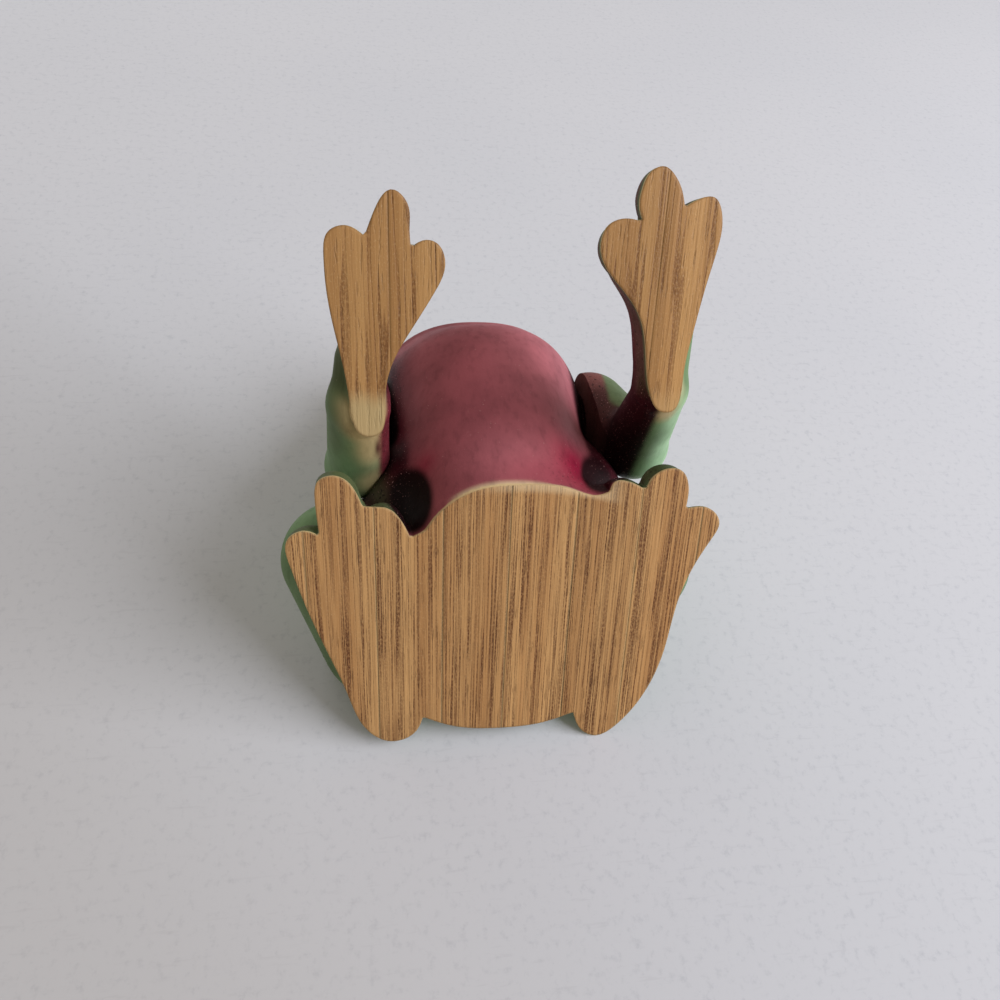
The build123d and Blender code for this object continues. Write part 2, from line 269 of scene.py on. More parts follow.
def bump(value, width):
    """Round bump of height 1 at zero."""
    return np.exp(-(value / width) ** 2)


def relief(value, form):
    """Round bump at zero with the depth and width of a form."""
    return form[0] * bump(value, form[1])


def limb(p, start, end, start_radius, end_radius):
    """Distance to a tapered limb with round ends."""
    axis = np.subtract(end, start)
    length = float(np.linalg.norm(axis))
    axis = axis / length
    dx, dy, dz = (p[i] - np.float32(start[i]) for i in range(3))
    u = dx * np.float32(axis[0]) + dy * np.float32(axis[1]) + dz * np.float32(axis[2])
    v = np.sqrt(np.maximum(dx * dx + dy * dy + dz * dz - u * u, 0))
    lean = np.float32((start_radius - end_radius) / length)
    rise = np.float32(np.sqrt(1 - lean * lean))
    k = rise * u - lean * v
    d = rise * v + lean * u - start_radius
    d = np.where(k < 0, np.sqrt(u * u + v * v) - start_radius, d)
    return np.where(k > rise * length, np.sqrt((u - length) ** 2 + v * v) - end_radius, d)


def ball(p, centre, radius):
    """Distance to a ball."""
    return np.sqrt(sum((p[i] - np.float32(centre[i])) ** 2 for i in range(3))) - radius


def torus(p, centre, axis, major, minor):
    """Distance to a ring round an axis."""
    d = [p[i] - np.float32(centre[i]) for i in range(3)]
    u = sum(d[i] * np.float32(axis[i]) for i in range(3))
    v = np.sqrt(np.maximum(sum(c * c for c in d) - u * u, 0))
    return np.sqrt(u * u + (v - major) ** 2) - minor


def natural_spline(knots, values, where):
    """Natural cubic spline through values at knots, and its slope, at the places asked for."""
    n = len(knots)
    h = np.diff(knots)
    a = np.zeros((n, n))
    b = np.zeros((n, values.shape[1]))
    a[0, 0] = a[-1, -1] = 1
    for i in range(1, n - 1):
        a[i, i - 1], a[i, i], a[i, i + 1] = h[i - 1], 2 * (h[i - 1] + h[i]), h[i]
        b[i] = 6 * ((values[i + 1] - values[i]) / h[i] - (values[i] - values[i - 1]) / h[i - 1])
    m = np.linalg.solve(a, b)
    i = np.clip(np.searchsorted(knots, where) - 1, 0, n - 2)
    hi = h[i][:, None]
    t = (where - knots[i])[:, None]
    s = hi - t
    value = (
        (m[i] * s ** 3 + m[i + 1] * t ** 3) / (6 * hi)
        + (values[i] / hi - m[i] * hi / 6) * s
        + (values[i + 1] / hi - m[i + 1] * hi / 6) * t
    )
    slope = (
        (m[i + 1] * t ** 2 - m[i] * s ** 2) / (2 * hi)
        + (values[i + 1] - values[i]) / hi
        - (m[i + 1] - m[i]) * hi / 6
    )
    return value, slope


def outline(runs):
    """Closed outline through runs of points, sampled finely."""
    points = []
    for run in runs:
        run = np.array(run, float)
        along = np.concatenate(([0], np.cumsum(np.linalg.norm(np.diff(run, axis=0), axis=1))))
        where = np.linspace(0, along[-1], max(8, int(along[-1] / 0.3)))
        points.append(natural_spline(along, run, where)[0][:-1])
    return np.concatenate(points)


class OutlineField:
    """Signed distance to a closed outline, kept as a fine table."""

    def __init__(self, points, margin=4.0, cell=0.15):
        self.low = points.min(0) - margin
        self.step = cell
        size = np.ceil((points.max(0) + margin - self.low) / cell).astype(int) + 1
        gx = self.low[0] + np.arange(size[0]) * cell
        gy = self.low[1] + np.arange(size[1]) * cell
        px, py = (c.ravel().astype(np.float32) for c in np.meshgrid(gx, gy, indexing="ij"))
        best = np.full(px.shape, 1e9, np.float32)
        inside = np.zeros(px.shape, bool)
        for a, b in zip(points, np.roll(points, -1, axis=0)):
            ex, ey = np.float32(b[0] - a[0]), np.float32(b[1] - a[1])
            dx, dy = px - np.float32(a[0]), py - np.float32(a[1])
            t = np.clip((dx * ex + dy * ey) / (ex * ex + ey * ey), 0, 1)
            best = np.minimum(best, (dx - t * ex) ** 2 + (dy - t * ey) ** 2)
            crosses = (a[1] > py) != (b[1] > py)
            if ey:
                inside ^= crosses & (dx < dy * (ex / ey))
        self.table = (np.sqrt(best) * np.where(inside, -1, 1)).reshape(size)
        self.size = size

    def __call__(self, p):
        fx = (p[0] - self.low[0]) / self.step
        fy = (p[1] - self.low[1]) / self.step
        cx = np.clip(fx, 0, self.size[0] - 1.001)
        cy = np.clip(fy, 0, self.size[1] - 1.001)
        beyond = (np.abs(fx - cx) + np.abs(fy - cy)) * self.step
        ix, iy = cx.astype(int), cy.astype(int)
        tx, ty = cx - ix, cy - iy
        t = self.table
        left = t[ix, iy] * (1 - ty) + t[ix, iy + 1] * ty
        right = t[ix + 1, iy] * (1 - ty) + t[ix + 1, iy + 1] * ty
        return (left * (1 - tx) + right * tx + beyond).astype(np.float32)


def sole_place(shares, height=0.0):
    """A place on the sole plane from its shares, with a height."""
    return (shares[0] * SOLE_HALF_WIDTH, shares[1] * REAR_REACH, height)


def hand_place(side, shares):
    """A place on a hand, outward from its glue plane and back from its wrist."""
    sign = SIDES[side]
    return (
        sign * (GLUE[side] + shares[0] * HAND_HALF_WIDTH),
        WRIST_BACK[side] + shares[1] * HAND_LENGTH,
    )


heights = np.linspace(0, CROWN + 4, 400)
known = TRUNK_SHARES[:, 1:] * (CHEST_REACH, REAR_REACH, CHEST_HALF_WIDTH)
section, section_slope = natural_spline(TRUNK_SHARES[:, 0] * CROWN, known, np.minimum(heights, CROWN))
sole_field = OutlineField(outline([[sole_place(s)[:2] for s in run] for run in SOLE_SHARES]))
hand_field = {
    side: OutlineField(outline([[hand_place(side, s) for s in run] for run in HAND_SHARES[side]]))
    for side in SIDES
}


def section_at(z):
    """Middle, half length and half width of the trunk at a height, then their slopes."""
    found = []
    for table in (section, section_slope):
        front, back, width = (np.interp(z, heights, table[:, i]).astype(np.float32) for i in range(3))
        found += ((front + back) / 2, (back - front) / 2, width)
    return found


def trunk_distance(p):
    """Distance to the trunk and head, a stack of rounded sections closed by a soft crown."""
    x, y, z = p
    middle, length, width, middle_s, length_s, width_s = section_at(z)
    u, v = x / width, (y - middle) / length
    au, av = np.abs(u) + 1e-4, np.abs(v) + 1e-4
    g = (au ** TRUNK_POWER + av ** TRUNK_POWER) ** (1 / TRUNK_POWER)
    gu = np.sign(u) * (au / g) ** (TRUNK_POWER - 1)
    gv = np.sign(v) * (av / g) ** (TRUNK_POWER - 1)
    gz = -gu * u * width_s / width - gv * (middle_s + v * length_s) / length
    d = (g - 1) / np.sqrt((gu / width) ** 2 + (gv / length) ** 2 + gz ** 2)
    return smax(d, z - (CROWN + CROWN_RISE), CROWN_ROUND)


def sole_distance(p):
    """Distance to the feet, toes and rump, cut to the outline of the sole."""
    d = p[2] - SOLE_EDGE + 0 * p[0]
    for side in SIDES:
        foot = sole_place(FOOT_SHARES[side], FOOT_HEIGHT - FOOT_RADIUS)
        heel = sole_place(HEEL_SHARES[side], HEEL_HEIGHT - HEEL_RADIUS)
        d = smin(d, limb(p, foot, heel, FOOT_RADIUS, HEEL_RADIUS), FOOT_BLEND)
        for x, y, share in TOE_SHARES[side]:
            radius = TOE_RADIUS * share
            toe = sole_place((x, y), TOE_HEIGHT - radius)
            d = smin(d, limb(p, toe, foot, radius, TOE_RADIUS), FOOT_BLEND)
    for start, end, radius in PAD_SHARES:
        d = smin(d, limb(p, sole_place(start), sole_place(end), radius, radius), PAD_BLEND)
    return smax(d, sole_field(p), SOLE_ROUND)


def arm_joints(side):
    """Centres of the wrist, elbow and shoulder."""
    sign, seat = SIDES[side], GLUE[side]
    wrist = (sign * (seat + ARM_INSET + WRIST_RADIUS[side]), WRIST_BACK[side], WRIST_HEIGHT)
    elbow = (sign * (seat + ARM_INSET + ELBOW_RADIUS[side]), ELBOW_BACK[side], ELBOW_HEIGHT)
    shoulder = (sign * (seat + SHOULDER_OUTSET), SHOULDER_BACK[side], DOWEL_HEIGHT)
    return wrist, elbow, shoulder


def limbs_distance(p, side):
    """Distance to the forearm, the upper arm and the swell beside the wrist."""
    wrist, elbow, shoulder = arm_joints(side)
    forearm = limb(p, wrist, elbow, WRIST_RADIUS[side], ELBOW_RADIUS[side])
    upper = limb(p, elbow, shoulder, ELBOW_RADIUS[side], SHOULDER_RADIUS[side])
    hand_side = (*hand_place(side, HAND_SIDE_SHARES[side]), HAND_SIDE_HEIGHT)
    swell = limb(p, wrist, hand_side, WRIST_RADIUS[side] - HAND_SIDE_INSET, HAND_SIDE_RADIUS)
    return smin(smin(forearm, upper, ARM_BLEND), swell, HAND_SIDE_BLEND)


def hand_distance(p, side):
    """Distance to one flat-soled hand."""
    wrist = arm_joints(side)[0]
    palm = (*hand_place(side, PALM_SHARES[side]), PALM_HEIGHT - PALM_RADIUS)
    d = p[2] - HAND_EDGE + 0 * p[0]
    d = smin(d, limb(p, palm, wrist, PALM_RADIUS, WRIST_RADIUS[side]), HAND_BLEND)
    for x, y, share in FINGER_SHARES[side]:
        radius = FINGER_RADIUS * share
        finger = (*hand_place(side, (x, y)), FINGER_HEIGHT - radius)
        d = smin(d, limb(p, finger, palm, radius, FINGER_RADIUS), HAND_BLEND)
    return smax(d, hand_field[side](p), HAND_ROUND)


def bore_distance(p, side):
    """Distance to the bore that a shoulder dowel sits in."""
    x = np.abs(p[0] - SIDES[side] * GLUE[side]) - BORE_HALF_LENGTH
    r = np.sqrt((p[1] - DOWEL_BACK) ** 2 + (p[2] - DOWEL_HEIGHT) ** 2) - BORE_RADIUS
    return np.maximum(x, r)


def arm_distance(p, side):
    """Distance to a whole arm, before it is cut at its glue plane."""
    fade = np.clip(p[2] * 0.5, 0.1, 1.0)
    d = smin(hand_distance(p, side), limbs_distance(p, side), WRIST_BLEND * fade)
    return np.maximum(d, -bore_distance(p, side))


def eye_centres(side):
    """Centres of an eye's mound and its bead, and the way the eye looks."""
    sign = SIDES[side]
    aim = EYE_AIM * (sign, 1, 1)
    mound = np.array((sign * EYE_SIDE, EYE_BACK, EYE_HEIGHT))
    return mound, mound + aim * BEAD_OFFSET, aim


def eye_rim(p, mound, aim):
    """Distance to the carved rim round an eye's bead."""
    return torus(p, mound + aim * RIM_OFFSET, aim, RIM_RADIUS, RIM_THICKNESS)


def mouth_height(x, y):
    """Height of the mouth line, which lifts towards its corners and turns down at the ends."""
    return MOUTH_HEIGHT + MOUTH_CURVE * x * x - MOUTH_DROOP * step(-5.0, 2.5, y)


def nostril_distance(ax, z):
    """Distance to a nostril's centre, seen from the front."""
    return np.sqrt((ax - NOSTRIL_PLACE[0]) ** 2 + (z - NOSTRIL_PLACE[1]) ** 2)


def head_distance(p):
    """Distance to the trunk and head with the face, the ear drums and the ridges of the back."""
    x, y, z = p
    ax = np.abs(x)
    mirrored = (ax, y, z)
    d = trunk_distance(p)
    reach = step(4.0, -1.0, y)
    line = z - mouth_height(x, y)
    d = d + relief(line, MOUTH_GROOVE) * reach
    d = d - relief(line + LOWER_LIP_DROP, LOWER_LIP) * reach * step(2.5, -3.0, y)
    d = d - relief(line - UPPER_LIP_RISE, UPPER_LIP) * reach
    nostril = nostril_distance(ax, z)
    pit = relief(nostril, NOSTRIL_PIT) - relief(nostril - NOSTRIL_RIM_RADIUS, NOSTRIL_RIM)
    d = d + np.where(y < SNOUT_FRONT, pit, 0)
    d = d - relief(limb(mirrored, *SIDE_RIDGE), SIDE_RIDGE_FORM)
    ear = np.sqrt((y - EAR_PLACE[0]) ** 2 + (z - EAR_PLACE[1]) ** 2)
    d = d + np.where(ax > EAR_SIDE, relief(ear - EAR_RADIUS, EAR_GROOVE), 0)
    return d - np.where(z < BACK_RIDGE_TOP, relief(limb(mirrored, *BACK_RIDGE), BACK_RIDGE_FORM), 0)


def boss_distance(p, side, outside):
    """Distance to the round boss on the body that a shoulder dowel stands in, up to the glue plane."""
    ends = [
        (SIDES[side] * sx, DOWEL_BACK, DOWEL_HEIGHT) for sx in (BOSS_START, GLUE[side] + BOSS_OVERRUN)
    ]
    return np.maximum(limb(p, *ends, BOSS_RADIUS, BOSS_RADIUS), BOSS_GAP - outside)


def body_distance(p):
    """Distance to the trunk, head, thighs and feet as one carving."""
    x, y, z = p
    fade = np.clip(z * 0.4, 0.06, 1.0)
    d = smin(head_distance(p), limb((np.abs(x), y, z), *FLANK, *FLANK_RADII), FLANK_BLEND * fade)
    d = smin(d, sole_distance(p), SOLE_BLEND * fade)
    for side in SIDES:
        thigh = limb(p, KNEE[side], HIP[side], KNEE_RADIUS, HIP_RADIUS)
        d = smin(d, thigh, THIGH_BLEND * fade)
        mound, bead, aim = eye_centres(side)
        d = smin(d, ball(p, mound, MOUND_RADIUS), MOUND_BLEND)
        d = smin(d, eye_rim(p, mound, aim), RIM_BLEND)
        d = np.maximum(d, -ball(p, bead, SOCKET_RADIUS))
        outside = GLUE[side] - SIDES[side] * x
        d = smin(d, boss_distance(p, side, outside), BOSS_BLEND)
        recess = np.maximum(limbs_distance(p, side) - SEAT_GAP, outside)
        d = smax(d, -recess, SEAT_BLEND)
        d = np.maximum(d, -bore_distance(p, side))
    return d


# Meshes

CORNERS = np.array([(i, j, k) for i in (0, 1) for j in (0, 1) for k in (0, 1)])
EDGES = [
    (a, b) for a in range(8) for b in range(a + 1, 8) if np.abs(CORNERS[a] - CORNERS[b]).sum() == 1
]


def surface_net(field, low, high):
    """Quads over the zero surface of a field, one point in each cell that the surface crosses."""
    low = np.array(low, float)
    count = np.ceil((np.array(high) - low) / GRID).astype(int) + 1
    axes = [(low[i] + np.arange(count[i]) * GRID).astype(np.float32) for i in range(3)]
    grid = (axes[0][:, None, None], axes[1][None, :, None], axes[2][None, None, :])
    d = np.maximum(field(grid), axes[2][1] + np.float32(FLOOR_SHARE * GRID) - grid[2])
    inside = d < 0
    cells = tuple(n - 1 for n in count)
    total = np.zeros(cells, np.int8)
    for i, j, k in CORNERS:
        total += inside[i:i + cells[0], j:j + cells[1], k:k + cells[2]]
    cell = np.argwhere((total > 0) & (total < 8))
    value = np.stack([d[tuple((cell + c).T)] for c in CORNERS], axis=1)
    point = np.zeros((len(cell), 3))
    hits = np.zeros(len(cell))
    for a, b in EDGES:
        crossed = (value[:, a] < 0) != (value[:, b] < 0)
        t = np.where(crossed, value[:, a] / np.where(crossed, value[:, a] - value[:, b], 1), 0)
        point += np.where(crossed[:, None], CORNERS[a] + t[:, None] * (CORNERS[b] - CORNERS[a]), 0)
        hits += crossed
    point = low + (cell + point / hits[:, None]) * GRID
    index = np.full(cells, -1, np.int64)
    index[tuple(cell.T)] = np.arange(len(cell))
    quads = []
    for axis in range(3):
        ahead = np.roll(inside, -1, axis)
        change = inside != ahead
        span = [slice(1, n - 1) for n in count]
        span[axis] = slice(0, count[axis] - 1)
        at = np.argwhere(change[tuple(span)]) + [s.start for s in span]
        u, v = np.eye(3, dtype=int)[(axis + 1) % 3], np.eye(3, dtype=int)[(axis + 2) % 3]
        ring = np.stack([index[tuple((at - o).T)] for o in (u + v, v, 0 * u, u)], axis=1)
        flip = ~inside[tuple(at.T)]
        ring[flip] = ring[flip][:, ::-1]
        quads.append(ring)
    quads = np.concatenate(quads)
    corner = point[quads]
    facing = np.cross(corner[:, 2] - corner[:, 0], corner[:, 3] - corner[:, 1])
    if (facing * gradient(field, corner.mean(1))).sum() < 0:
        quads = quads[:, ::-1]
    return point, quads


def value_at(field, points):
    """Values of a field at points, as a column."""
    return field(tuple(points.astype(np.float32).T))[:, None]


def gradient(field, points, reach=0.08):
    """Slope of a field at points, by small steps each way."""
    points = points.astype(np.float32)
    slope = np.empty_like(points)
    for i, way in enumerate(np.eye(3, dtype=np.float32) * reach):
        slope[:, i] = (field(tuple((points + way).T)) - field(tuple((points - way).T))) / (2 * reach)
    return slope


def normals(field, points):
    """Unit normals of a field at points."""
    slope = gradient(field, points)
    return slope / np.maximum(np.linalg.norm(slope, axis=1, keepdims=True), 1e-6)


def settle(field, points, quads):
    """Evens out the points along the surface and sets them exactly on it."""
    for turn in range(SETTLE_TURNS):
        total = np.zeros_like(points)
        count = np.zeros(len(points))
        for i in range(4):
            for j in (1, 3):
                np.add.at(total, quads[:, i], points[quads[:, (i + j) % 4]])
                np.add.at(count, quads[:, i], 1)
        mean = total / count[:, None]
        normal = normals(field, points)
        on_surface = np.abs(value_at(field, points)) < GRID
        shift = (mean - points) * on_surface
        shift -= normal * (shift * normal).sum(1, keepdims=True)
        points = points + 0.5 * shift
        slope = gradient(field, points)
        size = np.maximum((slope ** 2).sum(1, keepdims=True), 0.05)
        move = -slope * value_at(field, points) / size
        points = points + np.clip(move, -SETTLE_MOVE, SETTLE_MOVE) * on_surface
    return points


def cut(bm, place, normal, slot):
    """Cuts a closed mesh at a plane, drops the far side and closes the cut with faces of one slot."""
    geometry = bm.verts[:] + bm.edges[:] + bm.faces[:]
    bmesh.ops.bisect_plane(
        bm, geom=geometry, dist=1e-4, plane_co=place, plane_no=normal, clear_outer=True
    )
    across = [i for i in range(3) if not normal[i]]
    along = next(i for i in range(3) if normal[i])
    rim = [
        e for e in bm.edges
        if len(e.link_faces) == 1 and all(abs(v.co[along] - place[along]) < 1e-3 for v in e.verts)
    ]
    corners = list({v for e in rim for v in e.verts})
    number = {v: i for i, v in enumerate(corners)}
    flat = [Vector((v.co[across[0]], v.co[across[1]])) for v in corners]
    pairs = [(number[e.verts[0]], number[e.verts[1]]) for e in rim]
    made = delaunay_2d_cdt(flat, pairs, [], 1, 1e-5)
    start = np.array([flat[a] for a, b in pairs]).reshape(-1, 2)
    along_rim = np.array([flat[b] for a, b in pairs]).reshape(-1, 2) - start
    along_rim[:, 1] = np.where(along_rim[:, 1] == 0, 1e-12, along_rim[:, 1])
    for triangle in made[2]:
        if not all(made[3][i] for i in triangle):
            continue
        centre = sum((np.array(made[0][i]) for i in triangle), np.zeros(2)) / len(triangle)
        share = (centre[1] - start[:, 1]) / along_rim[:, 1]
        crossed = (share >= 0) & (share < 1) & (start[:, 0] + share * along_rim[:, 0] > centre[0])
        if crossed.sum() % 2 == 0:
            continue
        face = bm.faces.new([corners[made[3][i][0]] for i in triangle])
        face.material_index = slot
        face.normal_update()
        if face.normal.dot(normal) < 0:
            face.normal_flip()


def strip_mesh(name, surface, planes):
    """Mesh of one strip in millimetres: the surface cut by its planes and at the sole."""
    points, quads = surface
    keep = np.ones(len(quads), bool)
    for place, normal in planes:
        side = (points - place) @ np.array(normal)
        keep &= (side[quads] < 1.5 * GRID).any(axis=1)
    used, index = np.unique(quads[keep], return_inverse=True)
    mesh = bpy.data.meshes.new(name)
    mesh.from_pydata(points[used].tolist(), [], index.reshape(-1, 4).tolist())
    bm = bmesh.new()
    bm.from_mesh(mesh)
    for face in bm.faces:
        face.smooth = True
    for place, normal in planes:
        cut(bm, place, normal, 2)
    cut(bm, (0, 0, 0), (0, 0, -1), 1)
    loose = [v for v in bm.verts if not v.link_faces]
    bmesh.ops.delete(bm, geom=loose, context="VERTS")
    bm.to_mesh(mesh)
    bm.free()
    return mesh


def from_mesh(items, key, kind, width=1):
    """One value, or a row of them, from each vertex, loop or face of a mesh."""
    values = np.empty(len(items) * width, kind)
    items.foreach_get(key, values)
    return values.reshape(-1, width) if width > 1 else values


def add_object(name, data):
    """A new object in the scene."""
    made = bpy.data.objects.new(name, data)
    bpy.context.scene.collection.objects.link(made)
    return made


def carve(part_name, field, surface, planes, paint, materials):
    """One strip of the carving: cut, painted, given its normals and put in place of its solid."""
    name, node = part_name + "_carving", part_name + "_strip"
    mesh = strip_mesh(name, surface, planes)
    co = from_mesh(mesh.vertices, "co", np.float32, 3)
    normal = normals(field, co)
    tint = paint(co, normal)
    colour = mesh.color_attributes.new("tint", "FLOAT_COLOR", "POINT")
    rgba = np.ones((len(co), 4), np.float32)
    rgba[:, :3] = tint[:, :3]
    colour.data.foreach_set("color", rgba.ravel())
    speckle = mesh.attributes.new("speckle", "FLOAT", "POINT")
    speckle.data.foreach_set("value", tint[:, 3].astype(np.float32).copy())

    mesh.transform(Matrix.Scale(MM, 4))
    for material in materials:
        mesh.materials.append(material)
    loops = from_mesh(mesh.loops, "vertex_index", np.int32)
    size = from_mesh(mesh.polygons, "loop_total", np.int32)
    face_normal = from_mesh(mesh.polygons, "normal", np.float32, 3)
    flat = np.repeat(from_mesh(mesh.polygons, "material_index", np.int32) > 0, size)
    split = np.where(flat[:, None], np.repeat(face_normal, size, axis=0), normal[loops])
    mesh.normals_split_custom_set(split.tolist())
    piece = add_object(name, mesh)
    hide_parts(node)
    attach(piece, "root")


# Paint, with painted light and shade laid into its colours

def srgb(red, green, blue):
    """A colour given as it looks on a screen, in the linear values that shaders use."""
    c = np.array((red, green, blue)) / 255
    return np.where(c <= 0.04045, c / 12.92, ((c + 0.055) / 1.055) ** 2.4)


ROSE = srgb(140, 72, 79)
# Painted light: a lighter copy of the rose for the side of the belly that faces the lamp
ROSE_PAINTED_LIT = srgb(179, 104, 113)
CRIMSON = srgb(140, 12, 50)
BURGUNDY = srgb(62, 14, 24)
BLACK = srgb(25, 5, 8)
GREEN = srgb(106, 132, 94)
# Painted light: a lit copy of the green
GREEN_PAINTED_LIT = srgb(150, 186, 146)
SAND = srgb(184, 162, 118)
WINE = srgb(118, 44, 54)
MAUVE_PAINTED_HIGHLIGHT = srgb(178, 126, 132)
UMBER = srgb(78, 44, 42)
CLAY = srgb(146, 88, 84)
OLIVE = srgb(84, 94, 62)
CREAM = srgb(220, 202, 162)
MOSS = srgb(74, 98, 64)
MOSS_DARK = srgb(50, 60, 40)
FLECK = srgb(206, 150, 150)
PIT = srgb(24, 8, 10)
DUST = srgb(222, 196, 186)
BARE_EDGE = srgb(206, 180, 132)

# Soft blobs of paint, among them a painted highlight and painted shade: colour, amount, place and size each
# way, or a place and a size alone
BELLY_BLOBS = (
    # Painted light: a lighter patch on the low front of the belly
    (ROSE_PAINTED_LIT, 0.5, (1.0, -3.5, 4.5), (6.0, 4.0, 4.0)),
    (CRIMSON, 0.95, (9.4, -2.0, 5.6), (3.4, 4.0, 4.6)),
    (CRIMSON, 0.25, (4.5, -2.5, 2.0), (4.5, 4.0, 2.4)),
    (CRIMSON, 0.45, (-10.0, -1.7, 7.2), (1.7, 2.0, 1.7)),
    # Painted highlight: a pale mauve patch on the left side of the belly
    (MAUVE_PAINTED_HIGHLIGHT, 0.45, (9.8, -5.2, 11.6), (2.4, 3.0, 3.4)),
)
RIGHT_HOLLOW = (CRIMSON, 0.35, (-14.0, -2.0, 16.0), (1.6, 4.0, 6.0))
RIGHT_TOE_WEB = (OLIVE, 0.7, (-16.4, 2.8, 6.5), (1.8, 2.4, 5.0))
# Painted shade: black in the crevice between the right arm and the belly
RIGHT_ARM_CREVICE_SHADE = (BLACK, 0.75, (-13.1, -1.4, 11.4), (1.3, 2.2, 3.6))
BLACK_HOLLOWS = (((13.2, 0.4, 5.5), (3.4, 3.6, 6.0)), ((-12.2, 2.0, 4.6), (3.2, 4.2, 5.6)))
BELLY_SPECKLE = ((9.6, -1.4, 3.0), (4.4, 3.0, 3.5))
LEFT_WRIST_MOSS = (MOSS, 0.6, (20.0, -6.0, 5.5), (2.5, 2.0, 3.0))
LEFT_WRIST_OLIVE = (OLIVE, 0.6, (18.4, -2.0, 7.8), (1.6, 3.0, 3.0))
RIGHT_WRIST_CRACK = (BURGUNDY, 0.9, (-15.9, -4.6, 5.4), (0.35, 1.5, 4.0))
RIGHT_WRIST_SAND = ((-16.4, -5.0, 4.8), (2.4, 4.4, 5.0))
RIGHT_FOREARM_SAND = ((-16.3, 1.6, 10.2), (2.6, 2.8, 3.6))

# Round moss spots on the back, on both sides alike: across, along and radius
MOSS_SPOTS = (
    (6.5, 9.0, 3.4), (11.5, 14.5, 2.6), (5.0, 22.0, 2.8), (19.0, 20.0, 3.4), (22.5, 13.0, 2.2),
    (13.5, 27.0, 3.0), (3.5, 3.0, 1.8),
)


def over(base, colour, amount):
    """Lays a colour over others by an amount from 0 to 1."""
    amount = np.clip(amount, 0, 1)[:, None]
    return base * (1 - amount) + colour * amount


def near(points, place, size):
    """Soft blob round a place, with a size each way."""
    return np.exp(-(((points - np.array(place)) / np.array(size)) ** 2).sum(1))


def dab(base, points, blob):
    """Lays one soft blob of paint over a base."""
    colour, amount, place, size = blob
    return over(base, colour, amount * near(points, place, size))


def plain(points, colour):
    """One colour for every point."""
    return np.tile(colour, (len(points), 1))


def paint_back(points, normal):
    """Greens of the back, head and thighs, with painted light on faces that turn upwards, and moss in the
    middle, low down and in spots.
    """
    x, y, z = points.T
    ax = np.abs(x)
    spine = bump(ax, 4.5) * step(4.0, 12.0, y)
    low = step(9.0, 2.0, z) * step(2.0, 8.0, y)
    # Painted light: faces that turn upwards are lighter
    base = over(plain(points, GREEN), GREEN_PAINTED_LIT, 0.55 * step(-0.2, 0.9, normal[:, 2]))
    base = over(base, MOSS, 0.65 * spine)
    base = over(base, MOSS, 0.5 * low)
    for across, along, radius in MOSS_SPOTS:
        spot = step(0.8, -0.6, np.hypot(ax - across, y - along) - radius)
        base = over(base, MOSS, 0.55 * spot * step(0.0, 0.45, normal[:, 2]))
    return base


def paint_belly(points):
    """Rose of the belly and throat, with painted light towards its left side and low front, and painted
    shade darker towards the flanks and on its right side.
    """
    x, y, z = points.T
    # Painted light: the rose lightens towards the left side, which faces the lamp, and upwards
    rose = over(plain(points, ROSE), ROSE_PAINTED_LIT, step(-5, 11, x) * step(4, 22, z))
    for blob in BELLY_BLOBS:
        rose = dab(rose, points, blob)
    # Painted shade: burgundy on both flanks beside the arms, and more on the right side, away from the lamp
    flanks = step(12.0, 13.8, np.abs(x)) * step(36.0, 29.0, z)
    painted_shade_right = step(-9.0, -13.0, x) * step(34.0, 24.0, z) * step(6.0, 12.0, z)
    return over(over(rose, BURGUNDY, flanks), BURGUNDY, 0.7 * painted_shade_right)


